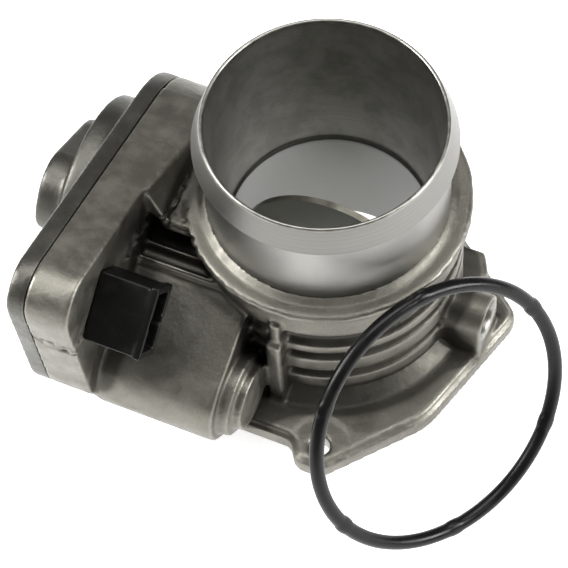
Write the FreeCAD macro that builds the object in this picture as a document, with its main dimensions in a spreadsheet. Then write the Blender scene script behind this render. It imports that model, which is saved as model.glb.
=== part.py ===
import FreeCAD, Part
import math
import os
import re

from FreeCAD import Placement, Rotation, Vector

# Electric throttle body. Millimetres. +Z is the air passage's axis towards the hose spigot, +X runs along
# the throttle shaft away from the gearbox, and the origin is on the passage's axis in the flange face.

SIZES = {
    # air passage and hose spigot
    "total_height": 100.0,
    "bore_radius": 31.0,
    "bore_height": 43.0,
    "inlet_foot_radius": 31.8,
    "inlet_mouth_radius": 35.6,
    "spigot_radius": 37.1,
    "lip_radius": 36.9,
    "bead_radius": 39.6,
    "bead_height": 91.0,
    "collar_radius": 44.0,
    "collar_bottom": 57.3,
    "collar_top": 60.5,
    "band_radius": 41.5,
    "band_bottom": 45.5,
    "body_radius": 38.2,
    "rib_radius": 41.0,
    # flange
    "flange_thickness": 7.0,
    "flange_edge": 5.4,
    "flange_step": 1.5,
    "bolt_across": 18.5,
    "bolt_along": 54.5,
    "bolt_hole_radius": 3.2,
    "spot_face_radius": 9.6,
    "spot_face_depth": 0.5,
    "groove_radius": 41.8,
    "groove_half_width": 2.1,
    "groove_depth": 3.0,
    # throttle shaft and plate
    "shaft_height": 18.2,
    "shaft_radius": 4.0,
    "shaft_bore_radius": 4.3,
    "running_clearance": 0.03,
    "plate_radius": 30.55,
    "plate_thickness": 2.2,
    "open_lean": 6.0,
    "screw_flat": 3.0,
    "boss_end": 52.6,
    "boss_radius": 7.7,
    "boss_bore_radius": 5.5,
    "boss_bore_start": 36.0,
    # gearbox tray and cover, whose outlines lie in planes of constant X
    "tray_back": 48.0,
    "tray_floor": 50.5,
    "tray_rim": 62.0,
    "tray_wall": 3.0,
    "cover_face": 68.0,
    "cover_skin": 2.0,
    "dome_wall": 2.4,
    "screw_post_radius": 4.8,
    "low_dome_radius": 30.0,
    "low_dome_face": 76.0,
    "high_dome_face": 84.5,
    "cover_screw_radius": 1.9,
    "cover_screw_head": 3.2,
    "cover_screw_sink": 2.2,
    # motor
    "motor_along": -54.0,
    "motor_height": 21.0,
    "barrel_radius": 16.5,
    "barrel_end": 10.0,
    "motor_radius": 14.0,
    "motor_cavity_radius": 14.3,
    "motor_cavity_end": 12.5,
    "motor_shaft_radius": 1.6,
    "motor_screw_reach": 17.4,
    # gear train
    "gear_module": 0.8,
    "sector_teeth": 58.0,
    "small_teeth": 20.0,
    "large_teeth": 56.0,
    "pinion_teeth": 12.0,
    "mesh_play": 0.1,
    "travel": 84.0,
    # return spring
    "spring_pocket_radius": 12.2,
    "spring_pocket_end": 41.0,
    "spring_radius": 10.0,
    "spring_wire": 0.8,
    # ball bearing beside the gearbox
    "bearing_radius": 8.0,
    "bearing_end": 34.5,
    # connector
    "plug_along": -60.7,
    "plug_height": 61.5,
    "plug_turn": 39.5,
    "plug_width": 21.5,
    "plug_depth": 12.5,
    "plug_end": 29.3,
    "plug_wall": 1.7,
    # loose flange seal
    "seal_ring_radius": 43.6,
    "seal_section_radius": 2.35,
}

ALONG_X = Rotation(Vector(0, 1, 0), 90)
ALONG_MINUS_X = Rotation(Vector(0, 1, 0), -90)
ALONG_Z = Rotation()

# Corner lists: two coordinates and the corner's rounding radius.
FLANGE_CORNERS = [
    (-12, -56, 4), (9.5, -56, 4), (13.3, -62, 4.5), (22, -62, 6), (45.8, -33.6, 20), (58.4, 11.2, 6),
    (-7, 62, 7), (-24, 62, 7), (-47, 34, 15), (-47, -30, 12),
]
GEARBOX_CORNERS = [
    (-81.5, 89, 11), (-74.5, 27, 25), (-50, -19.4, 14), (31.5, -19.4, 26), (31.5, 57.8, 28),
]
MOTOR_SCREW_ANGLES = (100, 280)
PLATE_SCREWS = (-14.0, 14.0)
BRIDGE_FRONT = -27.0
BRIDGE_BACK = 24.0
COVER_SCREWS = [(-73.0, 78.5), (-70.5, 36.0), (-44.0, -13.0), (16.0, -9.0), (23.5, 44.0), (-34.0, 70.0)]
LOW_DOME = (-10.0, 34.5)
HIGH_DOME_CORNERS = [(-23.9, 61.9, 11.5), (-37.5, 42.2, 11.5), (-4.1, 12.4, 14), (15.9, 41.1, 14)]
RIBS = [(34.0, 38.5), (23.0, 30.5), (12.0, 19.5)]
SEAL_CENTRE = Vector(51.55, -39.10, 22.68)
SEAL_NORMAL = Vector(0.790, -0.454, 0.412)
SEAL_TAB_ANGLES = (20, 80, 140, 200, 260, 320)

doc = FreeCAD.newDocument("ThrottleBody")
sheet = doc.addObject("Spreadsheet::Sheet", "Sizes")
nodes = []


def fill_sheet():
    for row, (name, value) in enumerate(SIZES.items(), start=1):
        sheet.set(f"A{row}", name)
        sheet.set(f"B{row}", str(value))
        sheet.setAlias(f"B{row}", name)
    doc.recompute()


def size(name):
    return float(sheet.get(name))


def bind(thing, prop, text):
    """Binds a property to an expression in which every word that is an alias reads the sheet."""
    def from_sheet(match):
        word = match.group()
        return "Sizes." + word if word in SIZES else word

    thing.setExpression(prop, re.sub(r"[a-z_]+", from_sheet, str(text)))


def solid(kind, name, sizes, at=(0, 0, 0), turn=ALONG_Z):
    thing = doc.addObject(kind, name)
    thing.Placement = Placement(Vector(), turn)
    for prop, text in sizes.items():
        bind(thing, prop, text)
    for axis, text in zip("xyz", at):
        bind(thing, "Placement.Base." + axis, text)
    return thing


def cylinder(name, radius, height, at=(0, 0, 0), turn=ALONG_Z):
    return solid("Part::Cylinder", name, {"Radius": radius, "Height": height}, at, turn)


def cone(name, foot, top, height, at=(0, 0, 0), turn=ALONG_Z):
    return solid("Part::Cone", name, {"Radius1": foot, "Radius2": top, "Height": height}, at, turn)


def block(name, length, width, height, at=(0, 0, 0), turn=ALONG_Z):
    return solid("Part::Box", name, {"Length": length, "Width": width, "Height": height}, at, turn)


def fuse(name, things):
    thing = doc.addObject("Part::MultiFuse", name)
    thing.Shapes = things
    return thing


def cut(name, base, tool):
    thing = doc.addObject("Part::Cut", name)
    thing.Base = base
    thing.Tool = tool
    return thing


def common(name, things):
    thing = doc.addObject("Part::MultiCommon", name)
    thing.Shapes = things
    return thing


def tube(name, outer, inner, height, at=(0, 0, 0), turn=ALONG_Z):
    return cut(name, cylinder(name + "_outside", outer, height, at, turn),
               cylinder(name + "_inside", inner, height, at, turn))


def shaped(name, shape, placement=None):
    thing = doc.addObject("Part::Feature", name)
    thing.Shape = shape
    if placement:
        thing.Placement = placement
    return thing


def node(name, thing):
    """Marks a finished sub-part: its Label names its file."""
    thing.Label = name
    nodes.append(thing)
    return thing


def rounded(corners, inset=0.0):
    """Lines and arcs of a closed outline with rounded corners, as 2D point tuples, moved inwards by inset."""
    wire = Part.makePolygon([Vector(a, b, 0) for a, b, _ in corners + corners[:1]])
    if inset:
        wire = wire.makeOffset2D(-inset, join=2)
    points = [v.Point for v in wire.OrderedVertexes]
    pieces = []
    count = len(points)
    for i, corner in enumerate(points):
        original = min(corners, key=lambda c: math.hypot(c[0] - corner.x, c[1] - corner.y))
        before = (points[i - 1] - corner).normalize()
        after = (points[(i + 1) % count] - corner).normalize()
        turn = before.getAngle(after)
        convex = before.cross(after).z * outline_sense(points) < 0
        radius = original[2] - inset if convex else original[2] + inset
        reach = radius / math.tan(turn / 2)
        middle = (before + after).normalize() * (radius / math.sin(turn / 2))
        centre = corner + middle
        mid = centre - middle.normalize() * radius
        pieces.append((corner + before * reach, mid, corner + after * reach))
    return pieces


def outline_sense(points):
    area = sum(a.x * b.y - b.x * a.y for a, b in zip(points, points[1:] + points[:1]))
    return 1 if area > 0 else -1


def outline_edges(corners, inset=0.0):
    edges = []
    pieces = rounded(corners, inset)
    for piece, following in zip(pieces, pieces[1:] + pieces[:1]):
        edges.append(Part.Arc(*piece))
        edges.append(Part.LineSegment(piece[2], following[0]))
    return edges


def padded(name, plane, corners, length, start, inset=0.0):
    """A PartDesign body: a rounded outline on a base plane, padded by length and moved to start."""
    body = doc.addObject("PartDesign::Body", name)
    sketch = body.newObject("Sketcher::SketchObject", name + "_outline")
    base = [f for f in body.Origin.OriginFeatures if f.Role == plane][0]
    sketch.AttachmentSupport = [(base, "")]
    sketch.MapMode = "FlatFace"
    sketch.addGeometry(outline_edges(corners, inset))
    pad = body.newObject("PartDesign::Pad", name + "_pad")
    pad.Profile = sketch
    bind(pad, "Length", length)
    sketch.Visibility = False
    bind(body, "Placement.Base." + ("z" if plane == "XY_Plane" else "x"), start)
    return body


def gear_face(teeth, module, shift=0.0, thin=0.02):
    """An involute spur gear's face in the XY plane, with a tooth centred on +X."""
    pressure = math.radians(20)
    pitch = teeth * module / 2
    base = pitch * math.cos(pressure)
    tip = pitch + (0.95 + shift) * module
    root = pitch - (1.25 - shift) * module
    half = (math.pi / 2 + 2 * shift * math.tan(pressure)) * module / 2 - thin
    half_angle = half / pitch + math.tan(pressure) - pressure
    start = max(base, root)
    flank = []
    for step in range(6):
        radius = start + (tip - start) * step / 5
        roll = math.acos(min(1.0, base / radius))
        flank.append((radius, half_angle - (math.tan(roll) - roll)))
    points = []
    for tooth in range(int(teeth)):
        centre = 2 * math.pi * tooth / teeth
        side = [(root, half_angle)] + flank
        for radius, angle in side:
            points.append((radius, centre - angle))
        for radius, angle in reversed(side):
            points.append((radius, centre + angle))
    ring = [Vector(r * math.cos(a), r * math.sin(a), 0) for r, a in points]
    return Part.Face(Part.makePolygon(ring + ring[:1]))


def on_yz(along, height, start, angle=0.0):
    """Placement of a shape drawn on XY: its X, Y and Z become Y, Z and X, and it is turned by angle about X."""
    swap = Rotation(Vector(0, 1, 0), Vector(0, 0, 1), Vector(1, 0, 0), "ZXY")
    return Placement(Vector(-start, along, height), Rotation(Vector(1, 0, 0), angle) * swap)


def gear_solid(teeth, module, thickness, along, height, start, angle, shift=0.0):
    """A gear whose front is at x = -start and which reaches thickness further towards -X."""
    body = gear_face(teeth, module, shift).extrude(Vector(0, 0, thickness))
    body.Placement = on_yz(along, height, start + thickness, angle)
    return body.copy()


fill_sheet()
SHAFT = (0.0, size("shaft_height"))
MOTOR = (size("motor_along"), size("motor_height"))


def intermediate_axis():
    """Where the intermediate gear turns: the corner of the triangle of centre distances above the shaft."""
    module = size("gear_module")
    to_sector = module * (size("sector_teeth") + size("small_teeth")) / 2 + size("mesh_play")
    to_motor = module * (size("large_teeth") + size("pinion_teeth")) / 2 + size("mesh_play")
    span = math.dist(SHAFT, MOTOR)
    inner = math.acos((to_sector**2 + span**2 - to_motor**2) / (2 * to_sector * span))
    towards_motor = math.atan2(MOTOR[1] - SHAFT[1], MOTOR[0] - SHAFT[0])
    angle = towards_motor - inner
    return (SHAFT[0] + to_sector * math.cos(angle), SHAFT[1] + to_sector * math.sin(angle))


IDLER = intermediate_axis()


def direction(start, end):
    return math.degrees(math.atan2(end[1] - start[1], end[0] - start[0]))


# ---------------------------------------------------------------- housing casting

def spigot_and_body():
    top = "total_height"
    things = [
        cylinder("body_core", "body_radius", "collar_bottom"),
        cylinder("band", "band_radius", "collar_bottom - band_bottom", (0, 0, "band_bottom")),
        cylinder("collar", "collar_radius", "collar_top - collar_bottom", (0, 0, "collar_bottom")),
        cone("collar_slope", "spigot_radius + 2.4", "spigot_radius", "1.6", (0, 0, "collar_top")),
        cylinder("neck", "spigot_radius", "bead_height - collar_top", (0, 0, "collar_top")),
        cone("bead_under", "spigot_radius", "bead_radius", "1.3", (0, 0, "bead_height - 1.3")),
        cone("bead", "bead_radius", "lip_radius", top + " - bead_height", (0, 0, "bead_height")),
        cone("foot_slope", "rib_radius + 3.5", "body_radius", "5", (0, 0, "flange_thickness")),
    ]
    for i, (low, high) in enumerate(RIBS):
        things.append(cylinder(f"body_rib_{i}", "rib_radius", high - low, (0, 0, low)))
    return things


def flange():
    """The flange with a step round its edge, and the low pad that joins it to the body behind."""
    edge = padded("flange", "XY_Plane", FLANGE_CORNERS, "flange_edge", "0")
    top = padded("flange_top", "XY_Plane", FLANGE_CORNERS, "flange_thickness - 1", "1", inset=size("flange_step"))
    raised = block("flange_pad", 30, 22, "flange_thickness + 2.5", (14.5, 5, 0))
    return [edge, top, common("flange_raised_pad", [raised, cylinder("pad_limit", 49, 20)])]


def shaft_boss():
    length = "boss_end - boss_bore_start + 6"
    return [
        cone("boss", "boss_radius + 0.7", "boss_radius", length, ("boss_bore_start - 6", 0, "shaft_height"),
             ALONG_X),
        block("boss_foot", "boss_end - 31", "2 * boss_radius", "shaft_height",
              (31, "-boss_radius", 0)),
    ]


def front_web():
    return [
        block("web_low", 5, 12, 34, (-2.4, -45.2, 6)),
        block("web_high", 3.6, 10, 12, (-1.7, -43.4, 38)),
    ]


def motor_barrel():
    """The motor's barrel with its stepped nose, and the sloping shoulder that joins it to the body."""
    centre = ("motor_along", "motor_height")
    things = [
        cylinder("barrel", "barrel_radius", "tray_back + 1 - barrel_end", ("-tray_back - 1",) + centre,
                 ALONG_X),
        cylinder("nose_wide", "barrel_radius - 3", 4, ("-barrel_end",) + centre, ALONG_X),
        cylinder("nose_narrow", "barrel_radius - 6", 7, ("-barrel_end",) + centre, ALONG_X),
    ]
    slope = [(-61.2, 35.8, 0.5), (-38, 47, 3), (-18, 47, 3), (-18, 4.5, 3), (-54, 4.5, 3)]
    things.append(padded("barrel_shoulder", "YZ_Plane", slope, "tray_back - barrel_end", "-tray_back"))
    return things


def gearbox_back():
    """The gear tray, the bridge from it to the air passage, and two rails over the motor's shoulder."""
    tray = padded("tray", "YZ_Plane", GEARBOX_CORNERS, "tray_rim - tray_back", "-tray_rim")
    roof = [(-50, 74), (-47, 73), (-41, 59.5), (-20, 59.5), (-20, 54.5), (-42.5, 54.5), (-50, 66)]
    corners = [Vector(x, BRIDGE_FRONT, z) for x, z in roof + roof[:1]]
    arm = Part.Face(Part.makePolygon(corners)).extrude(Vector(0, BRIDGE_BACK - BRIDGE_FRONT, 0))
    limit = padded("arm_limit", "YZ_Plane", GEARBOX_CORNERS, "45", "-55")
    bridge = common("bridge", [shaped("bridge_roof", arm), limit])
    saddle = block("shaft_saddle", 30, 39, 33.5, (-50, -15, 0.5))
    rear_web = block("rear_web", 30, 8, 58, (-50, 10, 0.5))
    rails = [block(f"rail_{i}", 30, 1.8, 12, (-48.5, along - 0.9, 38)) for i, along in enumerate((-30, -35.6))]
    return [tray, bridge, saddle, rear_web] + rails


def tray_space():
    """The gearbox's inside, less the six screw posts."""
    inside = padded("tray_inside", "YZ_Plane", GEARBOX_CORNERS, "tray_rim - tray_floor + 1", "-tray_rim - 1",
                    inset=size("tray_wall"))
    posts = [cylinder(f"post_{i}", "screw_post_radius", "tray_rim", ("-tray_rim", a, h), ALONG_X)
             for i, (a, h) in enumerate(COVER_SCREWS)]
    return cut("tray_hollow", inside, fuse("posts", posts))


def passage():
    return [
        cylinder("bore", "bore_radius", "bore_height + 2", (0, 0, -1)),
        cone("inlet", "inlet_foot_radius", "inlet_mouth_radius", "total_height - bore_height",
             (0, 0, "bore_height")),
        cylinder("inlet_mouth", "inlet_mouth_radius", 1, (0, 0, "total_height")),
        cone("bore_lead", "bore_radius", "inlet_foot_radius", 1, (0, 0, "bore_height - 1")),
        tube("seal_groove", "groove_radius + groove_half_width", "groove_radius - groove_half_width",
             "groove_depth + 1", (0, 0, -1)),
    ]


def shaft_line_holes():
    line = ("0", "shaft_height")
    return [
        cylinder("shaft_tunnel", "shaft_bore_radius", "2 * tray_back", ("-tray_back",) + line, ALONG_X),
        cylinder("boss_bore", "boss_bore_radius", 20, ("boss_bore_start",) + line, ALONG_X),
        cone("boss_bore_lead", "boss_bore_radius", "boss_bore_radius + 1.1", 1.1,
             ("boss_end - 1.1",) + line, ALONG_X),
        cylinder("spring_pocket", "spring_pocket_radius", "tray_floor - spring_pocket_end + 1",
                 ("-tray_floor - 1",) + line, ALONG_X),
        cylinder("bearing_seat", "bearing_radius", "spring_pocket_end - bearing_end + 1",
                 ("-spring_pocket_end - 1",) + line, ALONG_X),
        cylinder("inner_seal_seat", "boss_bore_radius", 4, ("-bearing_end - 1",) + line, ALONG_X),
    ]


def plug_box(name, width, depth, start, end):
    """A box square to the turned connector, from x = -start to x = -end."""
    turn = Rotation(Vector(1, 0, 0), size("plug_turn"))
    corner = turn.multVec(Vector(0, -width / 2, -depth / 2))
    at = Vector(-start, size("plug_along"), size("plug_height")) + corner
    return shaped(name, Part.makeBox(start - end, width, depth), Placement(at, turn))


def other_holes():
    motor = ("motor_along", "motor_height")
    things = [
        cylinder("motor_cavity", "motor_cavity_radius", "tray_floor + 1 - motor_cavity_end",
                 ("-tray_floor - 1",) + motor, ALONG_X),
        cylinder("axle_seat", 2.0, 6, ("-tray_floor", IDLER[0], IDLER[1]), ALONG_X),
        plug_box("plug_opening", size("plug_width") - 1, size("plug_depth") - 1, size("tray_floor") + 1, 47),
    ]
    for i, side in enumerate((1, -1)):
        spot = (f"{side} * bolt_across", f"{-side} * bolt_along")
        things.append(cylinder(f"bolt_hole_{i}", "bolt_hole_radius", 12, spot + (-1,)))
        things.append(cylinder(f"spot_face_{i}", "spot_face_radius", 3,
                               spot + ("flange_thickness - spot_face_depth",)))
    for i, (along, height) in enumerate(COVER_SCREWS):
        things.append(cylinder(f"tapped_{i}", "cover_screw_radius", 8, ("-tray_rim - 1", along, height),
                               ALONG_X))
    for i, spot in enumerate(motor_screw_spots(-size("tray_floor") - 1)):
        things.append(cylinder(f"motor_screw_hole_{i}", 1.2, 5.2, spot, ALONG_X))
    return things


def housing():
    posts = [cylinder(f"motor_post_{i}", 3.0, 5, spot, ALONG_X)
             for i, spot in enumerate(motor_screw_spots(-size("tray_floor")))]
    metal = fuse("casting", spigot_and_body() + flange() + shaft_boss() + front_web() + motor_barrel()
                 + gearbox_back() + posts)
    hollow = cut("hollow_casting", metal, tray_space())
    for i, tool in enumerate(passage() + shaft_line_holes() + other_holes()):
        hollow = cut(f"machining_{i}", hollow, tool)
    node("throttle_housing", hollow)


# ---------------------------------------------------------------- gearbox cover

def dome(name, centre, radius, face, start):
    return cylinder(name, radius, f"{face} - ({start})", (f"-({face})", centre[0], centre[1]), ALONG_X)


def cover():
    plate = padded("cover_plate", "YZ_Plane", GEARBOX_CORNERS, "cover_face - tray_rim", "-cover_face")
    shell = fuse("cover_outside", [
        plate,
        dome("low_dome", LOW_DOME, "low_dome_radius", "low_dome_face", "tray_rim - 2"),
        padded("high_dome", "YZ_Plane", HIGH_DOME_CORNERS, "high_dome_face - tray_rim + 2", "-high_dome_face"),
    ])
    outline = padded("cover_limit", "YZ_Plane", GEARBOX_CORNERS, "30", "-tray_rim - 30")
    trimmed = common("cover_trimmed", [shell, outline])
    inside = padded("cover_inside", "YZ_Plane", GEARBOX_CORNERS, "cover_face - tray_rim - cover_skin + 1",
                    "-cover_face + cover_skin", inset=size("tray_wall"))
    pads = [cylinder(f"cover_pad_{i}", "screw_post_radius", 10, ("-cover_face", a, h), ALONG_X)
            for i, (a, h) in enumerate(COVER_SCREWS)]
    domes = fuse("dome_spaces", [
        dome("low_dome_inside", LOW_DOME, "low_dome_radius - dome_wall", "low_dome_face - cover_skin", "tray_rim"),
        padded("high_dome_inside", "YZ_Plane", HIGH_DOME_CORNERS, "high_dome_face - cover_skin - tray_rim",
               "-high_dome_face + cover_skin", inset=size("dome_wall")),
    ])
    dome_limit = padded("dome_limit", "YZ_Plane", GEARBOX_CORNERS, "40", "-tray_rim - 30", inset=size("tray_wall"))
    spaces = fuse("cover_spaces", [inside, common("dome_spaces_inside", [domes, dome_limit])])
    hollow = cut("cover_hollow", spaces, fuse("cover_pads", pads))
    holes = []
    for i, (along, height) in enumerate(COVER_SCREWS):
        spot = ("-cover_face - 1", along, height)
        holes.append(cylinder(f"cover_hole_{i}", "cover_screw_radius + 0.2", 20, spot, ALONG_X))
        holes.append(cylinder(f"cover_counterbore_{i}", "cover_screw_head + 0.2", "cover_screw_sink + 1", spot,
                              ALONG_X))
    shell = trimmed
    for i, tool in enumerate([hollow, seal_strip("seal_track")] + holes):
        shell = cut(f"cover_cut_{i}", shell, tool)
    node("gearbox_cover", shell)


def seal_strip(name):
    outer = padded(name + "_outer", "YZ_Plane", GEARBOX_CORNERS, 1, "-tray_rim - 1", inset=0.9)
    inner = padded(name + "_inner", "YZ_Plane", GEARBOX_CORNERS, 1, "-tray_rim - 1", inset=2.2)
    return cut(name, outer, inner)


def cover_fittings():
    node("cover_seal", seal_strip("cover_seal"))
    screws = []
    for i, (along, height) in enumerate(COVER_SCREWS):
        head = cylinder(f"screw_head_{i}", "cover_screw_head", "cover_screw_sink", ("-cover_face", along, height),
                        ALONG_X)
        shank = cylinder(f"screw_shank_{i}", "cover_screw_radius", 13, ("-cover_face", along, height), ALONG_X)
        socket = cylinder(f"screw_socket_{i}", 1.6, 1.4, ("-cover_face", along, height), ALONG_X)
        screws.append(cut(f"screw_{i}", fuse(f"screw_blank_{i}", [head, shank]), socket))
    node("cover_screws", fuse("cover_screws", screws))


# ---------------------------------------------------------------- connector and wiring

def connector():
    width = size("plug_width")
    depth = size("plug_depth")
    wall = size("plug_wall")
    end = size("plug_end")
    back = size("tray_back")
    shroud = plug_box("plug_shroud", width, depth, back, end)
    rim = plug_box("plug_rim", width + 0.9, depth + 0.9, end + 2.4, end)
    tail = plug_box("plug_tail", width - 1.2, depth - 1.2, 53, back - 1)
    socket = plug_box("plug_socket", width - 2 * wall, depth - 2 * wall, back - 3, end - 1)
    keys = [plug_box("plug_keyway", 3, depth + 0.8, end + 12, end - 1)]
    outside = fuse("plug_outside", [shroud, rim, tail])
    pins = connector_pins()
    space = fuse("plug_space", [socket] + [shaped(f"pin_slot_{i}", p) for i, p in enumerate(pins)])
    keyed = cut("plug_keyed", outside, common("plug_keys", keys + [plug_box(
        "plug_key_limit", 3, depth - 2 * wall + 1.6, end + 12, end - 1)]))
    node("connector_shell", cut("connector_shell", keyed, space))
    node("connector_pins", shaped("connector_pins", Part.makeCompound(pins)))


def connector_pins():
    """Five flat terminals side by side, from the lead frame to the middle of the socket."""
    turn = Rotation(Vector(1, 0, 0), size("plug_turn"))
    centre = Vector(-54, size("plug_along"), size("plug_height"))
    pins = []
    for i in range(5):
        corner = turn.multVec(Vector(0, (i - 2) * 3.3 - 0.75, -0.32))
        pin = Part.makeBox(54 - size("plug_end") - 7, 1.5, 0.64)
        pin.Placement = Placement(centre + corner, turn)
        pins.append(pin)
    return pins


def lead_frame():
    carrier = plug_box("lead_carrier", size("plug_width") - 3, size("plug_depth") - 4, 56.5, 54)
    strap = block("lead_strap", 1.6, 6, 24, (-56, -65, 36))
    node("lead_frame", fuse("lead_frame", [carrier, strap]))
    board = block("sensor_board", 1.2, 20, 16, (-64.5, -6, "shaft_height - 12"))
    chip = block("sensor_chip", 1.6, 5, 5, (-63.3, -2.5, "shaft_height - 2.5"))
    node("position_sensor", fuse("position_sensor", [board, chip]))


# ---------------------------------------------------------------- throttle shaft and what turns with it

def leaned(thing):
    thing.Placement = Placement(Vector(0, 0, size("shaft_height")), Rotation(Vector(1, 0, 0), -size("open_lean")))
    bind(thing, "Placement.Base.z", "shaft_height")
    return thing


def shaft_and_plate():
    rod = cylinder("shaft_rod", "shaft_radius", "57 + 47", (-57, 0, 0), ALONG_X)
    slot = block("shaft_slot", "2 * plate_radius + 0.3", "plate_thickness + 0.04", 10,
                 ("-plate_radius - 0.15", "-plate_thickness / 2 - 0.02", -5))
    across = Rotation(Vector(1, 0, 0), 90)
    holes = [cylinder(f"shaft_screw_hole_{i}", 1.5, 10, (x, 5, 0), across)
             for i, x in enumerate(PLATE_SCREWS)]
    flat = block("shaft_flat", 42, 2, 10, (-21, "screw_flat", -5))
    node("throttle_shaft", leaned(cut("throttle_shaft", rod, fuse("shaft_cuts", [slot, flat] + holes))))
    disc = cylinder("plate_disc", "plate_radius", "plate_thickness", (0, "plate_thickness / 2", 0), across)
    drilled = [cylinder(f"plate_screw_hole_{i}", 1.5, 10, (x, 5, 0), across)
               for i, x in enumerate(PLATE_SCREWS)]
    node("throttle_plate", leaned(cut("throttle_plate", disc, fuse("plate_drillings", drilled))))
    screws = []
    for i, x in enumerate(PLATE_SCREWS):
        shank = cylinder(f"plate_screw_shank_{i}", 1.5, "screw_flat + shaft_radius - 0.1",
                         (x, "screw_flat", 0), across)
        head = cylinder(f"plate_screw_head_{i}", 2.6, 1.8, (x, "screw_flat + 1.8", 0), across)
        screws.append(fuse(f"plate_screw_{i}", [shank, head]))
    node("plate_screws", leaned(fuse("plate_screws", screws)))


def sector_gear():
    module = size("gear_module")
    towards = direction(SHAFT, IDLER)
    tooth = 360 / size("sector_teeth")
    whole = gear_solid(size("sector_teeth"), module, 5, SHAFT[0], SHAFT[1], 51.5, towards + tooth / 2)
    reach = module * size("sector_teeth") / 2 + 2
    wedge = Part.makeCylinder(reach, 5, Vector(), Vector(0, 0, 1), size("travel") + 14)
    wedge.Placement = on_yz(SHAFT[0], SHAFT[1], 56.5, towards - 7)
    hub = Part.makeCylinder(8.0, 5.5, Vector(-57, 0, SHAFT[1]), Vector(1, 0, 0))
    hole = Part.makeCylinder(size("shaft_radius"), 20, Vector(-60, 0, SHAFT[1]), Vector(1, 0, 0))
    light = Part.makeCylinder(16.5, 5, Vector(), Vector(0, 0, 1), size("travel") - 16)
    light = light.cut(Part.makeCylinder(11, 5))
    light.Placement = on_yz(SHAFT[0], SHAFT[1], 56.5, towards + 8)
    shape = whole.common(wedge).cut(light).fuse(hub).cut(hole).removeSplitter()
    node("sector_gear", shaped("sector_gear", shape))


def shaft_fittings():
    line = (0, "shaft_height")
    node("spring_bush", tube("spring_bush", 7.6, "shaft_radius", 8.6, (-50.6,) + line, ALONG_X))
    node("sensor_magnet", cylinder("sensor_magnet", 4.5, 2.6, (-59.6,) + line, ALONG_X))
    node("shaft_end_bearing", tube("shaft_end_bearing", "boss_bore_radius", "shaft_radius + running_clearance",
                                   8, (39,) + line, ALONG_X))
    seals = [tube(f"shaft_seal_{i}", "boss_bore_radius", "shaft_radius + running_clearance", 2.2,
                  (x,) + line, ALONG_X) for i, x in enumerate((36.4, -34.2))]
    node("shaft_seals", fuse("shaft_seals", seals))


def ball_bearing():
    line = (0, "shaft_height")
    start = -size("spring_pocket_end") + 0.3
    width = 5.6
    race = Part.makeTorus(6.0, 1.35, Vector(start + width / 2, 0, SHAFT[1]), Vector(1, 0, 0))
    for name, outer, inner in (("bearing_outer_ring", size("bearing_radius"), 6.7),
                               ("bearing_inner_ring", 5.3, size("shaft_radius"))):
        ring = Part.makeCylinder(outer, width, Vector(start, 0, SHAFT[1]), Vector(1, 0, 0))
        ring = ring.cut(Part.makeCylinder(inner, width, Vector(start, 0, SHAFT[1]), Vector(1, 0, 0)))
        node(name, shaped(name, ring.cut(race)))
    balls = []
    for i in range(9):
        angle = 2 * math.pi * i / 9
        at = Vector(start + width / 2, 6.0 * math.cos(angle), SHAFT[1] + 6.0 * math.sin(angle))
        balls.append(Part.makeSphere(1.25, at))
    node("bearing_balls", shaped("bearing_balls", Part.makeCompound(balls)))


def return_spring():
    """Torsion spring round its bush: open turns along X."""
    radius = size("spring_radius")
    pitch = 2.0
    turns = 3.6
    helix = Part.makeHelix(pitch, pitch * turns, radius)
    section = Part.Wire(Part.Circle(Vector(radius, 0, 0), Vector(0, 1, 0), size("spring_wire")).toShape())
    coil = Part.Wire(helix.Edges).makePipeShell([section], True, True)
    start = Vector(-size("tray_floor") + 0.9, 0, SHAFT[1])
    node("return_spring", shaped("return_spring", coil, Placement(start, ALONG_X)))


# ---------------------------------------------------------------- intermediate gear and motor

def intermediate_gear():
    module = size("gear_module")
    small_angle = direction(IDLER, SHAFT)
    small = gear_solid(size("small_teeth"), module, 6.5, IDLER[0], IDLER[1], 51.3, small_angle)
    large = gear_solid(size("large_teeth"), module, 4.2, IDLER[0], IDLER[1], 57.8, direction(IDLER, MOTOR),
                       shift=-0.35)
    dish = Part.makeCylinder(18.5, 1.4, Vector(-62, IDLER[0], IDLER[1]), Vector(1, 0, 0))
    dish = dish.cut(Part.makeCylinder(5.5, 1.4, Vector(-62, IDLER[0], IDLER[1]), Vector(1, 0, 0)))
    hole = Part.makeCylinder(2.05, 40, Vector(-70, IDLER[0], IDLER[1]), Vector(1, 0, 0))
    shape = small.fuse(large).cut(dish).cut(hole).removeSplitter()
    node("intermediate_gear", shaped("intermediate_gear", shape))
    node("intermediate_axle", cylinder("intermediate_axle", 2.0, "20.9", (-65.4, IDLER[0], IDLER[1]), ALONG_X))


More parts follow.
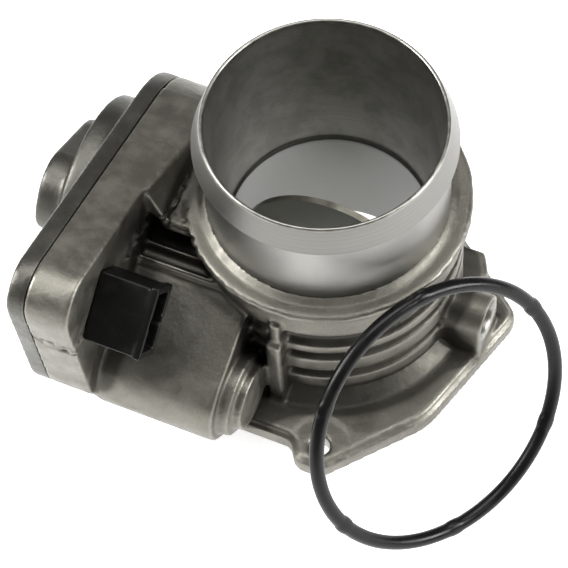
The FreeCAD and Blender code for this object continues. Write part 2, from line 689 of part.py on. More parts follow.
def motor_case():
    motor = ("motor_along", "motor_height")
    can = cylinder("can_outside", "motor_radius", 34.5, (-47.5,) + motor, ALONG_X)
    hollow = cylinder("can_inside", "motor_radius - 1", 33.5, (-48.5,) + motor, ALONG_X)
    hole = cylinder("can_hole", "motor_shaft_radius + 0.05", 5, (-15,) + motor, ALONG_X)
    node("motor_can", cut("motor_can", can, fuse("can_space", [hollow, hole])))
    magnets = tube("magnet_ring", "motor_radius - 1.02", "motor_radius - 3.4", 24, (-42,) + motor, ALONG_X)
    gap = block("magnet_gap", 30, 5, 40, (-45, MOTOR[0] - 2.5, MOTOR[1] - 20))
    node("motor_magnets", cut("motor_magnets", magnets, gap))
    plate = cylinder("end_plate_disc", "motor_radius", 2.4, (-49.9,) + motor, ALONG_X)
    ears = []
    for i, angle in enumerate(MOTOR_SCREW_ANGLES):
        turn = Rotation(Vector(1, 0, 0), angle)
        ear = Part.makeBox(1.2, 20.6, 6, Vector(0, 0, -3))
        ears.append(shaped(f"end_plate_ear_{i}", ear, Placement(Vector(-51.9, MOTOR[0], MOTOR[1]), turn)))
    lift = cylinder("end_plate_lift", "motor_radius - 5", 2, (-51.9,) + motor, ALONG_X)
    through = cylinder("end_plate_hole", "motor_shaft_radius + 0.05", 10, (-55,) + motor, ALONG_X)
    screw_holes = [cylinder(f"ear_hole_{i}", 1.3, 10, spot, ALONG_X)
                   for i, spot in enumerate(motor_screw_spots(-56))]
    node("motor_end_plate", cut("motor_end_plate", fuse("end_plate", [plate, lift] + ears),
                                fuse("end_plate_holes", [through] + screw_holes)))
    screws = []
    for i, (x, along, height) in enumerate(motor_screw_spots(-54.0)):
        head = cylinder(f"motor_screw_head_{i}", 2.4, 2.0, (x, along, height), ALONG_X)
        shank = cylinder(f"motor_screw_shank_{i}", 1.2, 5, (x + 1.5, along, height), ALONG_X)
        screws.append(fuse(f"motor_screw_{i}", [head, shank]))
    node("motor_screws", fuse("motor_screws", screws))


def motor_screw_spots(x):
    reach = size("motor_screw_reach")
    return [(x, MOTOR[0] + reach * math.cos(math.radians(a)), MOTOR[1] + reach * math.sin(math.radians(a)))
            for a in MOTOR_SCREW_ANGLES]


def motor_rotor():
    motor = ("motor_along", "motor_height")
    start = Vector(-41, MOTOR[0], MOTOR[1])
    core = Part.makeCylinder(10.0, 22, start, Vector(1, 0, 0))
    for i in range(5):
        slot = Part.makeBox(22, 2.2, 6, Vector(0, -1.1, 5.2))
        slot.Placement = Placement(start, Rotation(Vector(1, 0, 0), 72 * i))
        core = core.cut(slot)
    shaft_hole = Part.makeCylinder(size("motor_shaft_radius"), 22, start, Vector(1, 0, 0))
    node("rotor_core", shaped("rotor_core", core.cut(shaft_hole)))
    node("motor_shaft", cylinder("motor_shaft", "motor_shaft_radius", 50, (-63.5,) + motor, ALONG_X))
    node("commutator", tube("commutator", 4.0, "motor_shaft_radius", 4.6, (-46.4,) + motor, ALONG_X))
    facing = direction(MOTOR, IDLER)
    teeth = size("pinion_teeth")
    pinion = gear_solid(teeth, size("gear_module"), 5.6, MOTOR[0], MOTOR[1], 57.0, facing + 180 / teeth,
                        shift=0.35)
    hole = Part.makeCylinder(size("motor_shaft_radius"), 20, Vector(-70, MOTOR[0], MOTOR[1]), Vector(1, 0, 0))
    node("motor_pinion", shaped("motor_pinion", pinion.cut(hole)))


# ---------------------------------------------------------------- loose flange seal

def flange_seal():
    ring = Part.makeTorus(size("seal_ring_radius"), size("seal_section_radius"))
    for angle in SEAL_TAB_ANGLES:
        turn = math.radians(angle)
        spoke = Vector(math.cos(turn), math.sin(turn), 0)
        tab = Part.makeCylinder(1.2, 5.4, spoke * (size("seal_ring_radius") - 2.7), spoke)
        ring = ring.fuse(tab)
    tilt = Rotation(Vector(0, 0, 1), SEAL_NORMAL)
    node("flange_seal_ring", shaped("flange_seal_ring", ring.removeSplitter(), Placement(SEAL_CENTRE, tilt)))


def check_and_write():
    doc.recompute()
    for thing in doc.Objects:
        if "Invalid" in thing.State or "Error" in thing.State:
            raise RuntimeError(f"{thing.Name} ({thing.Label}) failed: {thing.State}")
    os.makedirs("parts", exist_ok=True)
    for thing in nodes:
        shape = thing.Shape
        if shape.isNull() or not shape.isValid() or shape.Volume <= 0:
            raise RuntimeError(f"{thing.Label} has no valid solid")
    for thing in nodes:
        thing.Shape.exportStep(f"parts/{thing.Label}.step")
        print(f"{thing.Label}: {thing.Shape.Volume / 1000:.2f} cm3, {len(thing.Shape.Solids)} solids")


housing()
cover()
cover_fittings()
connector()
lead_frame()
shaft_and_plate()
sector_gear()
shaft_fittings()
ball_bearing()
return_spring()
intermediate_gear()
motor_case()
motor_rotor()
flange_seal()
check_and_write()
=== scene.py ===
import math

import bmesh
import bpy
import numpy as np
from mathutils import Matrix, Vector, noise


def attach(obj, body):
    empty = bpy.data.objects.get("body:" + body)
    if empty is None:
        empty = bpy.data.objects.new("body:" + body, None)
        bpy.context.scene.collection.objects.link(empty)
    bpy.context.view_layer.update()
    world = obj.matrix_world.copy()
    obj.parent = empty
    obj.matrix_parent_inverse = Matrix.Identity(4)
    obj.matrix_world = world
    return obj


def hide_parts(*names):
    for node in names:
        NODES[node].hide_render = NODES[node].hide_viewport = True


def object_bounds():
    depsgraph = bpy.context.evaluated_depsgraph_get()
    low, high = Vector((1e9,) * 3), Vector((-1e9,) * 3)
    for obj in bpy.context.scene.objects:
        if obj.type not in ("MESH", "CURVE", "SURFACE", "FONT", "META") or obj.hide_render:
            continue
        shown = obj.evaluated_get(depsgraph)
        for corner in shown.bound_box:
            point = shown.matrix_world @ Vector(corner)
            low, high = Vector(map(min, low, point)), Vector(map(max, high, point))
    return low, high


# Electric throttle body: cast housing with a turned air passage, gearbox cover, wiring connector and a loose
# flange seal. Metres. Z is the air passage's axis and X the throttle shaft's.

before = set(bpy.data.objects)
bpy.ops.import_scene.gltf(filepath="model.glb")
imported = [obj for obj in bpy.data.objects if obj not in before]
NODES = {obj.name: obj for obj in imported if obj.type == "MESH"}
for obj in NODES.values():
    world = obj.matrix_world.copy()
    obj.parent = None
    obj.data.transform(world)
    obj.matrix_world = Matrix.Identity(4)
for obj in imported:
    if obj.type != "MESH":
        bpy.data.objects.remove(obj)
CAD_BOX = [list(corner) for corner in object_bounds()]
MM = 0.001

# Millimetres, as in the CAD model.
SHAFT_Z = 18.2
BOLT_ACROSS = 18.5
BOLT_ALONG = 54.5


# ---------------------------------------------------------------- node graphs

class Graph:
    """A material's node tree with short calls for the nodes used here."""

    def __init__(self, name):
        self.material = bpy.data.materials.new(name)
        self.material.use_nodes = True
        self.tree = self.material.node_tree
        self.bsdf = self.tree.nodes["Principled BSDF"]
        self.place = self.tree.nodes.new("ShaderNodeTexCoord").outputs["Object"]

    def add(self, kind, **settings):
        made = self.tree.nodes.new(kind)
        for key, value in settings.items():
            setattr(made, key, value)
        return made

    def link(self, out, into):
        self.tree.links.new(out, into)

    def put(self, into, value):
        if isinstance(value, bpy.types.NodeSocket):
            self.link(value, into)
        else:
            into.default_value = value

    def math(self, operation, *values):
        made = self.add("ShaderNodeMath", operation=operation)
        for into, value in zip(made.inputs, values):
            self.put(into, value)
        return made.outputs[0]

    def noise(self, scale, detail=3.0, rough=0.55, stretch=None):
        made = self.add("ShaderNodeTexNoise")
        made.inputs["Scale"].default_value = scale
        made.inputs["Detail"].default_value = detail
        made.inputs["Roughness"].default_value = rough
        place = self.place
        if stretch:
            mapping = self.add("ShaderNodeMapping")
            mapping.inputs["Scale"].default_value = stretch
            self.link(place, mapping.inputs["Vector"])
            place = mapping.outputs["Vector"]
        self.link(place, made.inputs["Vector"])
        return made.outputs["Fac"]

    def ramp(self, value, low, high, first=0.0, last=1.0):
        made = self.add("ShaderNodeMapRange", clamp=True)
        for key, number in (("From Min", low), ("From Max", high), ("To Min", first), ("To Max", last)):
            made.inputs[key].default_value = number
        self.link(value, made.inputs["Value"])
        return made.outputs["Result"]

    def mix(self, factor, first, second, blend="MIX"):
        made = self.add("ShaderNodeMix", data_type="RGBA", blend_type=blend)
        self.put(made.inputs["Factor"], factor)
        for into, value in ((made.inputs["A"], first), (made.inputs["B"], second)):
            self.put(into, (*value, 1.0) if isinstance(value, tuple) else value)
        return made.outputs["Result"]

    def bump(self, height, distance, strength=1.0, normal=None):
        made = self.add("ShaderNodeBump")
        made.inputs["Distance"].default_value = distance
        made.inputs["Strength"].default_value = strength
        self.link(height, made.inputs["Height"])
        if normal:
            self.link(normal, made.inputs["Normal"])
        return made.outputs["Normal"]

    def edges(self):
        """High on worn, outward edges and low in hollows."""
        geometry = self.add("ShaderNodeNewGeometry")
        return geometry.outputs["Pointiness"]

    def attribute(self, name):
        return self.add("ShaderNodeAttribute", attribute_name=name).outputs["Fac"]

    def axis(self, letter):
        made = self.add("ShaderNodeSeparateXYZ")
        self.link(self.place, made.inputs[0])
        return made.outputs[letter]

    def finish(self, colour, roughness, normal=None, metallic=0.0, **sockets):
        self.put(self.bsdf.inputs["Base Color"], (*colour, 1.0) if isinstance(colour, tuple) else colour)
        self.put(self.bsdf.inputs["Roughness"], roughness)
        self.bsdf.inputs["Metallic"].default_value = metallic
        if normal:
            self.link(normal, self.bsdf.inputs["Normal"])
        for key, value in sockets.items():
            self.bsdf.inputs[key.replace("_", " ")].default_value = value
        return self.material


def cast_metal(name, base, dark, light, metallic=0.9, rough=(0.36, 0.56), grain=0.00006):
    """Blasted die-cast aluminium: blotchy tone, fine grain, lighter worn edges, and painted shade in concave
    creases and in deep recesses.
    """
    g = Graph(name)
    blotch = g.ramp(g.noise(26.0, 4.0, 0.55), 0.3, 0.72)
    patch = g.ramp(g.noise(130.0, 4.0, 0.6), 0.38, 0.66)
    speck = g.ramp(g.noise(1500.0, 3.0, 0.6), 0.35, 0.7)
    tone = g.mix(blotch, dark, base)
    tone = g.mix(g.math("MULTIPLY", patch, 0.07), tone, light)
    tone = g.mix(g.math("MULTIPLY", speck, 0.2), tone, light)
    edge = g.ramp(g.edges(), 0.515, 0.56)
    hollow = g.ramp(g.edges(), 0.44, 0.49, 1.0, 0.0)
    tone = g.mix(g.math("MULTIPLY", edge, 0.55), tone, light)
    # Painted shade: concave creases are darkened towards a dark copy of the cast colour.
    tone = g.mix(g.math("MULTIPLY", hollow, 0.45), tone, tuple(0.45 * c for c in dark))
    # Painted shade: points in crowded, deep recesses are darkened by the per-point crowding attribute.
    tone = g.mix(g.math("MULTIPLY", g.attribute("recess_shade"), 0.8), tone, tuple(0.30 * c for c in dark))
    grit = g.noise(2600.0, 4.0, 0.65)
    dimple = g.noise(700.0, 3.0, 0.5)
    wave = g.noise(90.0, 2.0, 0.5)
    normal = g.bump(wave, 0.0006, 0.35)
    normal = g.bump(dimple, grain * 2.0, 0.6, normal)
    normal = g.bump(grit, grain, 0.8, normal)
    roughness = g.ramp(g.math("ADD", patch, g.math("MULTIPLY", edge, -0.4)), 0.0, 1.0, rough[0], rough[1])
    return g.finish(tone, roughness, normal, metallic)


def turned_metal(name, tone, dark, rough, pitch=0.00042, grooves=0.35, blast=0.0, across=0.45):
    """Lathe-turned aluminium about Z: fine feed marks, faint bands and short streaks."""
    g = Graph(name)
    height = g.axis("Z")
    turns = g.math("SINE", g.math("MULTIPLY", height, 2 * math.pi / pitch))
    bands = g.noise(5.0, 3.0, 0.6, (0.4, 0.4, 320.0))
    cloud = g.noise(46.0, 4.0, 0.6)
    colour = g.mix(g.ramp(bands, 0.36, 0.64), dark, tone)
    colour = g.mix(g.math("MULTIPLY", g.ramp(cloud, 0.4, 0.66), 0.35), colour, dark)
    normal = g.bump(turns, 0.00001, grooves)
    normal = g.bump(bands, 0.00003, 0.4, normal)
    roughness = g.ramp(bands, 0.35, 0.65, rough - 0.04, rough + 0.07)
    if blast:
        patch = g.ramp(g.noise(85.0, 5.0, 0.65), 0.42, 0.62)
        pits = g.noise(1400.0, 4.0, 0.6)
        colour = g.mix(g.math("MULTIPLY", patch, blast), colour, tuple(0.62 * c for c in dark))
        normal = g.bump(pits, 0.00006, 0.6 * blast, normal)
    tangent = g.add("ShaderNodeTangent", direction_type="RADIAL", axis="Z")
    g.link(tangent.outputs[0], g.bsdf.inputs["Tangent"])
    return g.finish(colour, roughness, normal, 1.0, Anisotropic=across)


def plain_metal(name, tone, dark, rough, scale=300.0):
    """Bright small parts: streaked tone and slightly uneven gloss."""
    g = Graph(name)
    cloud = g.noise(scale, 4.0, 0.6)
    fine = g.noise(scale * 9.0, 3.0, 0.6)
    colour = g.mix(g.ramp(cloud, 0.35, 0.65), dark, tone)
    rubbed = g.math("MULTIPLY", g.ramp(g.edges(), 0.52, 0.58), 0.5)
    colour = g.mix(rubbed, colour, tuple(min(1.0, 1.25 * c) for c in tone))
    normal = g.bump(fine, 0.00002, 0.5)
    return g.finish(colour, g.ramp(cloud, 0.3, 0.7, rough - 0.07, rough + 0.09), normal, 1.0)


def moulded(name, tone, light, rough=0.42, scuffs=0.5, grain=0.00004, level=0.5):
    """Moulded plastic or rubber: satin skin, fine orange peel, dusty scuffs and paler rubbed edges."""
    g = Graph(name)
    cloud = g.noise(120.0, 4.0, 0.6)
    scratch = g.ramp(g.noise(60.0, 6.0, 0.75, (1.0, 6.0, 3.0)), 0.57, 0.66)
    smudge = g.ramp(g.noise(210.0, 5.0, 0.7), 0.52, 0.7)
    peel = g.noise(1700.0, 3.0, 0.6)
    rubbed = g.ramp(g.edges(), 0.53, 0.6)
    colour = g.mix(g.math("MULTIPLY", scratch, 0.35 * scuffs), tone, light)
    colour = g.mix(g.math("MULTIPLY", smudge, 0.3 * scuffs), colour, light)
    colour = g.mix(g.math("MULTIPLY", rubbed, 0.7 * scuffs), colour, light)
    normal = g.bump(peel, grain, 0.6)
    roughness = g.ramp(cloud, 0.3, 0.7, rough - 0.08, rough + 0.1)
    return g.finish(colour, roughness, normal, Specular_IOR_Level=level)


CAST = cast_metal("cast_aluminium", (0.172, 0.165, 0.142), (0.148, 0.141, 0.119), (0.31, 0.30, 0.27))
COVER = cast_metal("cover_aluminium", (0.090, 0.088, 0.078), (0.074, 0.072, 0.062), (0.17, 0.166, 0.150),
                   rough=(0.36, 0.5), grain=0.00005)
NECK = turned_metal("turned_spigot", (0.305, 0.302, 0.288), (0.27, 0.267, 0.253), rough=0.36, across=0.45)
BORE = turned_metal("blasted_inlet", (0.30, 0.295, 0.27), (0.235, 0.23, 0.205), rough=0.44, blast=0.6,
                    across=0.3, grooves=0.15)
THROAT = turned_metal("bored_throat", (0.25, 0.25, 0.24), (0.215, 0.215, 0.205), rough=0.33, pitch=0.0006,
                      across=0.4, grooves=0.2)
LIP = plain_metal("lip_edge", (0.30, 0.295, 0.27), (0.21, 0.205, 0.19), 0.34)
BEAD = turned_metal("bead_metal", (0.215, 0.212, 0.20), (0.18, 0.177, 0.166), rough=0.38, across=0.45)
MACHINED = plain_metal("milled_face", (0.36, 0.355, 0.335), (0.27, 0.265, 0.245), 0.34, 160.0)
PLATE = cast_metal("plate_metal", (0.175, 0.178, 0.155), (0.145, 0.148, 0.127), (0.27, 0.275, 0.245),
                   rough=(0.34, 0.46), grain=0.00003)
PLATE_EDGE = plain_metal("plate_rim", (0.38, 0.37, 0.32), (0.26, 0.25, 0.21), 0.36)
STEEL = plain_metal("ground_steel", (0.62, 0.62, 0.61), (0.5, 0.5, 0.49), 0.24)
ZINC = plain_metal("zinc_steel", (0.58, 0.585, 0.60), (0.42, 0.43, 0.45), 0.34)
SPRING = plain_metal("spring_wire", (0.40, 0.385, 0.36), (0.27, 0.26, 0.24), 0.32)
BRASS = plain_metal("terminal_tin", (0.72, 0.62, 0.42), (0.55, 0.45, 0.27), 0.3)
COPPER = plain_metal("commutator_copper", (0.80, 0.42, 0.27), (0.55, 0.25, 0.14), 0.34)
BLACK = moulded("black_plastic", (0.0030, 0.0030, 0.0028), (0.036, 0.034, 0.031), 0.34, 0.5, level=0.22)
GEAR = moulded("gear_plastic", (0.55, 0.52, 0.43), (0.72, 0.70, 0.62), 0.4, 0.3)
BOARD = moulded("sensor_board", (0.02, 0.10, 0.055), (0.10, 0.24, 0.15), 0.35, 0.5)
MAGNET = moulded("sintered_magnet", (0.045, 0.043, 0.042), (0.16, 0.155, 0.15), 0.5, 0.6)
RUBBER = moulded("black_rubber", (0.0026, 0.0026, 0.0026), (0.011, 0.011, 0.0105), 0.30, 0.3, 0.00002, 0.22)


# ---------------------------------------------------------------- mesh helpers

def link(mesh, name):
    made = bpy.data.objects.new(name, mesh)
    bpy.context.scene.collection.objects.link(made)
    return made


def points_of(mesh):
    flat = np.empty(len(mesh.vertices) * 3, np.float32)
    mesh.vertices.foreach_get("co", flat)
    return flat.reshape(-1, 3).astype(np.float64)


def set_points(mesh, points):
    mesh.vertices.foreach_set("co", points.astype(np.float32).ravel())
    mesh.update()


def face_facts(mesh):
    """Centres and normals of the faces, as arrays."""
    count = len(mesh.polygons)
    centre = np.empty(count * 3, np.float32)
    normal = np.empty(count * 3, np.float32)
    mesh.polygons.foreach_get("center", centre)
    mesh.polygons.foreach_get("normal", normal)
    return centre.reshape(-1, 3), normal.reshape(-1, 3)


def paint(mesh, materials, chosen):
    for material in materials:
        mesh.materials.append(material)
    mesh.polygons.foreach_set("material_index", chosen.astype(np.int32))
    mesh.polygons.foreach_set("use_smooth", np.ones(len(mesh.polygons), bool))
    mesh.update()


def welded_copy(node, name):
    mesh = NODES[node].data.copy()
    mesh.name = name
    mesh.materials.clear()
    work = bmesh.new()
    work.from_mesh(mesh)
    bmesh.ops.remove_doubles(work, verts=work.verts, dist=2e-6)
    work.to_mesh(mesh)
    work.free()
    mesh.normals_split_custom_set([(0.0, 0.0, 0.0)] * len(mesh.loops))
    return link(mesh, name)


def remeshed(piece, voxel):
    """The piece's surface rebuilt as an even grid of small quads."""
    change = piece.modifiers.new("even", "REMESH")
    change.mode = "VOXEL"
    change.voxel_size = voxel
    change.adaptivity = 0.0
    bpy.context.view_layer.update()
    view = bpy.context.evaluated_depsgraph_get()
    mesh = bpy.data.meshes.new_from_object(piece.evaluated_get(view))
    piece.modifiers.clear()
    old = piece.data
    piece.data = mesh
    bpy.data.meshes.remove(old)
    return piece


def softened(mesh, rounds, weight):
    """Evens the surface: each point moves to its neighbours' mean and part of the way back, by weight."""
    count = len(mesh.edges)
    ends = np.empty(count * 2, np.int32)
    mesh.edges.foreach_get("vertices", ends)
    first, second = ends.reshape(-1, 2).T
    points = points_of(mesh)
    number = np.bincount(first, minlength=len(points)) + np.bincount(second, minlength=len(points))
    number = np.maximum(number, 1)[:, None]
    share = weight[:, None]
    for step in range(rounds):
        for gain in (0.62, -0.30) if step % 2 else (0.62,):
            total = np.empty_like(points)
            for k in range(3):
                total[:, k] = (np.bincount(first, points[second, k], len(points))
                               + np.bincount(second, points[first, k], len(points)))
            points += gain * share * (total / number - points)
    set_points(mesh, points)
    return points


def write_recess_shade(mesh):
    """Writes how crowded the space in front of each point is, 0 in the open and 1 in a deep hollow; the cast
    material paints shade in recesses from it.
    """
    reach = 7.0
    cell = 1.5
    points = points_of(mesh) * 1000
    normal = np.empty(len(points) * 3, np.float32)
    mesh.vertex_normals.foreach_get("vector", normal)
    normal = normal.reshape(-1, 3)
    low = points.min(axis=0) - 3 * reach
    shape = np.ceil((points.max(axis=0) + 3 * reach - low) / cell).astype(int) + 1
    grid = np.zeros(shape)
    np.add.at(grid, tuple(np.round((points - low) / cell).astype(int).T), 1.0)
    spread = 0.5 * reach / cell
    for k in range(3):
        wave = np.fft.rfftfreq(shape[k]) if k == 2 else np.fft.fftfreq(shape[k])
        fall = np.exp(-2 * (math.pi * spread * wave) ** 2)
        fall = fall.reshape([-1 if i == k else 1 for i in range(3)])
        blur = fall if k == 0 else blur * fall
    grid = np.fft.irfftn(np.fft.rfftn(grid) * blur, s=shape)
    ahead = (points + normal * reach - low) / cell
    corner = np.floor(ahead).astype(int)
    part = ahead - corner
    crowd = np.zeros(len(points))
    for step in np.ndindex(2, 2, 2):
        share = np.prod(np.where(step, part, 1 - part), axis=1)
        crowd += share * grid[tuple((corner + step).T)]
    base = np.percentile(crowd, 35)
    recess_shade = smooth_step(crowd, base * 1.15, base * 2.6)
    mesh.attributes.new("recess_shade", "FLOAT", "POINT").data.foreach_set("value", recess_shade.astype(np.float32))


def lathe(name, profile, turns):
    """A closed ring: profile is a closed list of (radius, height) in millimetres, turned about Z."""
    rows = len(profile)
    ring = np.array(profile) * MM
    angles = np.arange(turns) * 2 * math.pi / turns
    points = np.empty((turns, rows, 3))
    points[:, :, 0] = np.cos(angles)[:, None] * ring[:, 0]
    points[:, :, 1] = np.sin(angles)[:, None] * ring[:, 0]
    points[:, :, 2] = ring[:, 1]
    faces = []
    for i in range(turns):
        j = (i + 1) % turns
        for k in range(rows):
            m = (k + 1) % rows
            faces.append((i * rows + k, j * rows + k, j * rows + m, i * rows + m))
    mesh = bpy.data.meshes.new(name)
    mesh.from_pydata(points.reshape(-1, 3).tolist(), [], faces)
    mesh.update()
    return link(mesh, name)


def cut_away(piece, tool):
    change = piece.modifiers.new("cut", "BOOLEAN")
    change.operation = "DIFFERENCE"
    change.solver = "EXACT"
    change.object = tool
    bpy.context.view_layer.update()
    view = bpy.context.evaluated_depsgraph_get()
    mesh = bpy.data.meshes.new_from_object(piece.evaluated_get(view))
    piece.modifiers.clear()
    old = piece.data
    piece.data = mesh
    bpy.data.meshes.remove(old)
    spare = tool.data
    bpy.data.objects.remove(tool)
    bpy.data.meshes.remove(spare)
    return piece


def rod(name, radius, length, centre):
    """A cylinder along X."""
    mesh = bpy.data.meshes.new(name)
    work = bmesh.new()
    bmesh.ops.create_cone(work, cap_ends=True, segments=96, radius1=radius * MM, radius2=radius * MM,
                          depth=length * MM)
    turn = Matrix.Rotation(math.pi / 2, 4, "Y")
    bmesh.ops.transform(work, matrix=Matrix.Translation(Vector(centre) * MM) @ turn, verts=work.verts)
    work.to_mesh(mesh)
    work.free()
    return link(mesh, name)


def noise_at(points, scale, seed=0.0):
    return np.array([noise.noise(Vector(p) * scale + Vector((seed, seed, seed))) for p in points])


def smooth_step(value, low, high):
    t = np.clip((value - low) / (high - low), 0, 1)
    return t * t * (3 - 2 * t)


# ---------------------------------------------------------------- housing casting

NECK_CUT = 62.0
VOXEL = 0.6


def housing_casting():
    piece = welded_copy("throttle_housing", "housing_casting")
    mesh = piece.data
    work = bmesh.new()
    work.from_mesh(mesh)
    inner = [f for f in work.faces if all(math.hypot(v.co.x, v.co.y) < 0.0405 for v in f.verts)
             and max(v.co.z for v in f.verts) > NECK_CUT * MM - 1e-6]
    geometry = inner + list({e for f in inner for e in f.edges}) + list({v for f in inner for v in f.verts})
    bmesh.ops.bisect_plane(work, geom=geometry, plane_co=(0, 0, NECK_CUT * MM), plane_no=(0, 0, 1),
                           clear_outer=True, dist=1e-7)
    rim = [e for e in work.edges if e.is_boundary]
    bmesh.ops.triangle_fill(work, edges=rim, use_beauty=True)
    bmesh.ops.recalc_face_normals(work, faces=work.faces)
    work.to_mesh(mesh)
    work.free()
    remeshed(piece, VOXEL * MM)
    mesh = piece.data
    points = points_of(mesh) * 1000
    x, y, z = points.T
    radius = np.hypot(x, y)
    weight = np.ones(len(points))
    weight[(radius < 40.5) & (z > 59) & (z < 63)] = 0.15
    weight[radius < 36.0] = 0.12
    weight[x < -60.6] = 0.5
    weight[(z < 8) & (radius > 36.0)] = 0.4
    weight[z < 0.9] = 0.12
    weight[(np.hypot(y, z - SHAFT_Z) < 9.5) & (x > 51.4)] = 0.25
    points = softened(mesh, 9, weight) * 1000
    x, y, z = points.T
    radius = np.hypot(x, y)
    # The passage wall stands back behind its turned lining.
    wall = (radius < 36.5) & (z > -0.2) & (z < NECK_CUT + 0.4)
    push = np.where(wall, 0.9, 0.0)
    scale = 1 + push / np.maximum(radius, 1)
    points[:, 0] *= scale
    points[:, 1] *= scale
    # Ragged flash round the collar and a slightly uneven skin.
    edge = smooth_step(radius, 42.2, 43.4) * (np.abs(z - 58.9) < 2.6)
    where = np.nonzero(edge > 0)[0]
    ragged = noise_at(points[where], 0.30) * 0.28 + noise_at(points[where], 1.3, 3.0) * 0.10 - 0.18
    left = smooth_step(-points[where, 0], 24, 34) * smooth_step(-points[where, 1], -12, 2)
    ragged += left * np.minimum(0.0, noise_at(points[where], 0.55, 9.0)) * 2.2
    points[where, :2] *= (1 + edge[where] * ragged / radius[where])[:, None]
    set_points(mesh, points * MM)
    centre, normal = face_facts(mesh)
    cx, cy, cz = (centre * 1000).T
    nx, _, nz = normal.T
    from_shaft = np.hypot(cy, cz - SHAFT_Z)
    chosen = np.zeros(len(centre))
    milled = (cz < 0.35) & (nz < -0.7) | (cx < -61.4) & (nx < -0.7)
    milled |= (from_shaft < 7.0) & (cx > 36) & ((nx > 0.8) & (cx > 52.2) | (from_shaft < 6.4))
    for side in (1, -1):
        milled |= np.hypot(cx - side * BOLT_ACROSS, cy + side * BOLT_ALONG) < 3.4
    chosen[milled] = 1
    # Per-point crowding, which the cast material reads as painted shade in recesses.
    write_recess_shade(mesh)
    paint(mesh, [CAST, MACHINED], chosen)
    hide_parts("throttle_housing")
    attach(piece, "housing")


def arc_points(centre, radius, start, end, steps):
    angles = np.radians(np.linspace(start, end, steps))
    return [(centre[0] + radius * math.cos(a), centre[1] + radius * math.sin(a)) for a in angles]


def turned_passage():
    """The turned air passage: bore, inlet cone, lip, bead and neck as one ring."""
    foot = 0.15
    inner = [(31.0, foot + 0.4)] + [(31.0, z) for z in np.linspace(1.5, 42.0, 28)]
    inner += [(31.05, 42.3), (31.25, 42.7), (31.6, 43.0), (31.82, 43.4)]
    inner += [(31.8 + 3.8 * (z - 43) / 57, z) for z in np.linspace(44.5, 98.6, 40)]
    lip = arc_points((36.22, 99.35), 0.62, 180, 20, 12)
    outer = [(36.95 + (39.45 - 36.95) * t, 99.3 - 8.0 * t) for t in np.linspace(0.03, 1.0, 16)]
    outer += arc_points((39.15, 90.95), 0.42, 20, -70, 7)
    outer += [(38.5, 90.25), (37.75, 89.95), (37.3, 89.75), (37.12, 89.4)]
    outer += [(37.1, z) for z in np.linspace(88.6, NECK_CUT + 0.6, 44)]
    outer += [(37.1, NECK_CUT - 0.1)]
    back = [(34.3, NECK_CUT - 0.15), (33.6, 43.5), (32.3, 42.5), (32.3, foot), (31.4, foot)]
    profile = inner + lip + outer + back
    piece = lathe("turned_passage", profile[::-1], 288)
    for x in (-31.0, 31.0):
        cut_away(piece, rod("shaft_way", 4.35, 6.0, (x, 0, SHAFT_Z)))
    mesh = piece.data
    centre, normal = face_facts(mesh)
    cx, cy, cz = (centre * 1000).T
    outward = (normal[:, 0] * cx + normal[:, 1] * cy) > 0
    chosen = np.zeros(len(centre))
    chosen[~outward & (cz >= 43.2)] = 1
    chosen[~outward & (cz < 43.2)] = 2
    chosen[cz > 98.9] = 3
    chosen[outward & (cz > 89.7) & (cz <= 98.9)] = 4
    paint(mesh, [NECK, BORE, THROAT, LIP, BEAD], chosen)
    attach(piece, "housing")


# ---------------------------------------------------------------- cover, connector, seal

def cover_casting():
    piece = welded_copy("gearbox_cover", "cover_casting")
    remeshed(piece, (0.55) * MM)
    mesh = piece.data
    points = points_of(mesh) * 1000
    weight = np.where(points[:, 0] > -62.4, 0.5, 1.0)
    softened(mesh, 12, weight)
    paint(mesh, [COVER], np.zeros(len(mesh.polygons)))
    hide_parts("gearbox_cover")
    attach(piece, "housing")


def connector_moulding():
    piece = welded_copy("connector_shell", "connector_moulding")
    remeshed(piece, 0.28 * MM)
    mesh = piece.data
    softened(mesh, 14, np.ones(len(mesh.vertices)))
    paint(mesh, [BLACK], np.zeros(len(mesh.polygons)))
    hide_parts("connector_shell")
    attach(piece, "housing")


SEAL_CENTRE = Vector((51.55, -39.10, 22.68))
SEAL_NORMAL = Vector((0.790, -0.454, 0.412))
SEAL_RADIUS = 43.6


def seal_ring():
    """A slack rubber ring of round section with small locating nubs and a faint moulding line."""
    steps, sides = 420, 28
    spin = Vector((0, 0, 1)).rotation_difference(SEAL_NORMAL.normalized()).to_matrix()
    points, faces = [], []
    tabs = [math.radians(a) for a in (20, 80, 140, 200, 260, 320)]
    for i in range(steps):
        angle = 2 * math.pi * i / steps
        out = Vector((math.cos(angle), math.sin(angle), 0))
        away = min(abs((angle - t + math.pi) % (2 * math.pi) - math.pi) for t in tabs) * SEAL_RADIUS
        nub = math.exp(-(away / 2.0) ** 4)
        for j in range(sides):
            turn = 2 * math.pi * j / sides
            size = 2.25 + 0.07 * math.exp(-(math.sin(turn) / 0.10) ** 2)
            size += nub * 0.36 * abs(math.cos(turn)) ** 1.5
            flat = out * (SEAL_RADIUS + size * math.cos(turn)) + Vector((0, 0, size * math.sin(turn)))
            points.append((spin @ flat + SEAL_CENTRE) * MM)
            a, b = i * sides + j, i * sides + (j + 1) % sides
            c, d = ((i + 1) % steps) * sides + (j + 1) % sides, ((i + 1) % steps) * sides + j
            faces.append((a, d, c, b))
    mesh = bpy.data.meshes.new("seal_ring_rubber")
    mesh.from_pydata([tuple(p) for p in points], [], faces)
    mesh.update()
    piece = link(mesh, "seal_ring_rubber")
    paint(mesh, [RUBBER], np.zeros(len(mesh.polygons)))
    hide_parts("flange_seal_ring")
    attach(piece, "seal_ring")


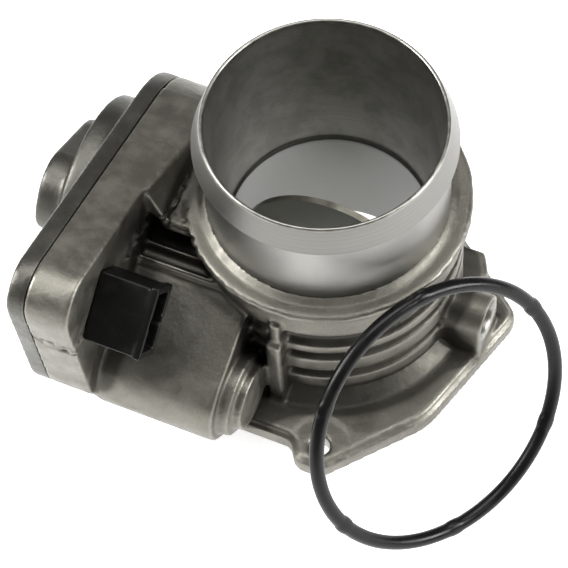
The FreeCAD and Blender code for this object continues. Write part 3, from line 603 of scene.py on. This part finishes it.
def plate_casting():
    """The throttle plate: a dull face and a paler machined rim."""
    piece = link(NODES["throttle_plate"].data.copy(), "plate_casting")
    mesh = piece.data
    mesh.materials.clear()
    centre, normal = face_facts(mesh)
    out = centre - np.array((0, 0, SHAFT_Z)) * MM
    out /= np.linalg.norm(out, axis=1)[:, None]
    rim = np.abs((normal * out).sum(axis=1)) > 0.6
    for material in (PLATE, PLATE_EDGE):
        mesh.materials.append(material)
    mesh.polygons.foreach_set("material_index", rim.astype(np.int32))
    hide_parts("throttle_plate")
    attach(piece, "throttle")


# ---------------------------------------------------------------- finishes of the other pieces

FINISHES = {
    "cover_seal": RUBBER, "cover_screws": ZINC, "connector_pins": BRASS, "lead_frame": BLACK,
    "position_sensor": BOARD, "shaft_end_bearing": STEEL, "shaft_seals": RUBBER, "bearing_outer_ring": STEEL,
    "bearing_balls": STEEL, "return_spring": SPRING, "intermediate_axle": STEEL, "motor_can": ZINC,
    "motor_magnets": MAGNET, "motor_end_plate": ZINC, "motor_screws": ZINC, "throttle_shaft": STEEL,
    "plate_screws": ZINC, "sector_gear": GEAR, "spring_bush": BLACK,
    "sensor_magnet": MAGNET, "bearing_inner_ring": STEEL, "intermediate_gear": GEAR, "rotor_core": SPRING,
    "motor_shaft": STEEL, "commutator": COPPER, "motor_pinion": STEEL,
}


def other_finishes():
    for name, material in FINISHES.items():
        piece = NODES[name]
        for i in range(max(1, len(piece.material_slots))):
            if piece.material_slots:
                piece.material_slots[i].material = material
            else:
                piece.data.materials.append(material)


# ---------------------------------------------------------------- floor, light and camera

FLOOR_Z = CAD_BOX[0][2] - 0.0002
LOOK = Vector((0.23567, -0.49187, 0.83817))
RIGHT = Vector((0.92026, 0.39018, -0.02977))
UP = Vector((-0.31239, 0.77834, 0.54460))
LIT_POINT = Vector((0, -0.01, 0.05))
CAMERA_DISTANCE = 0.9
AIM_RIGHT = 0.013040
AIM_UP = 0.052378


def floor():
    mesh = bpy.data.meshes.new("floor")
    work = bmesh.new()
    bmesh.ops.create_grid(work, x_segments=8, y_segments=8, size=3.0)
    work.to_mesh(mesh)
    work.free()
    piece = link(mesh, "floor")
    piece.location.z = FLOOR_Z
    g = Graph("floor_paint")
    grain = g.noise(9.0, 4.0)
    colour = g.mix(g.ramp(grain, 0.3, 0.7), (0.86, 0.86, 0.86), (0.89, 0.89, 0.89))
    mesh.materials.append(g.finish(colour, 0.9, Emission_Color=(1.0, 1.0, 1.0, 1.0), Emission_Strength=0.62))


def softbox(name, direction, distance, size, power):
    light = bpy.data.lights.new(name, "AREA")
    light.shape = "RECTANGLE"
    light.size, light.size_y = size
    light.energy = power
    made = bpy.data.objects.new(name, light)
    made.location = LIT_POINT + direction.normalized() * distance
    made.rotation_euler = direction.to_track_quat("Z", "Y").to_euler()
    bpy.context.scene.collection.objects.link(made)


def studio():
    softbox("light_left", -RIGHT * 0.95 + UP * 0.35 + LOOK * 0.55, 0.75, (0.28, 0.4), 7)
    softbox("light_right", RIGHT * 1.0 + UP * 0.1 + LOOK * 0.55, 0.75, (0.24, 0.4), 6)
    softbox("light_top", UP * 0.7 + LOOK * 0.8, 1.1, (0.9, 0.5), 9)
    world = bpy.data.worlds.new("studio")
    world.use_nodes = True
    world.node_tree.nodes["Background"].inputs["Color"].default_value = (0.93, 0.92, 0.88, 1)
    world.node_tree.nodes["Background"].inputs["Strength"].default_value = 0.26
    bpy.context.scene.world = world
    view = bpy.context.scene.view_settings
    view.view_transform = "Standard"
    view.look = "None"


def camera():
    lens = bpy.data.cameras.new("camera")
    lens.sensor_width = 36.0
    lens.lens = 196.2
    lens.clip_start = 0.05
    made = bpy.data.objects.new("camera", lens)
    place = Vector((0, 0, 0.1)) + LOOK * CAMERA_DISTANCE
    forward = (-LOOK - RIGHT * AIM_RIGHT - UP * AIM_UP).normalized()
    side = forward.cross(UP).normalized()
    top = side.cross(forward)
    turn = Matrix((side, top, -forward)).transposed()
    made.matrix_world = Matrix.Translation(place) @ turn.to_4x4()
    bpy.context.scene.collection.objects.link(made)
    bpy.context.scene.camera = made


housing_casting()
turned_passage()
cover_casting()
connector_moulding()
seal_ring()
plate_casting()
other_finishes()
floor()
studio()
camera()
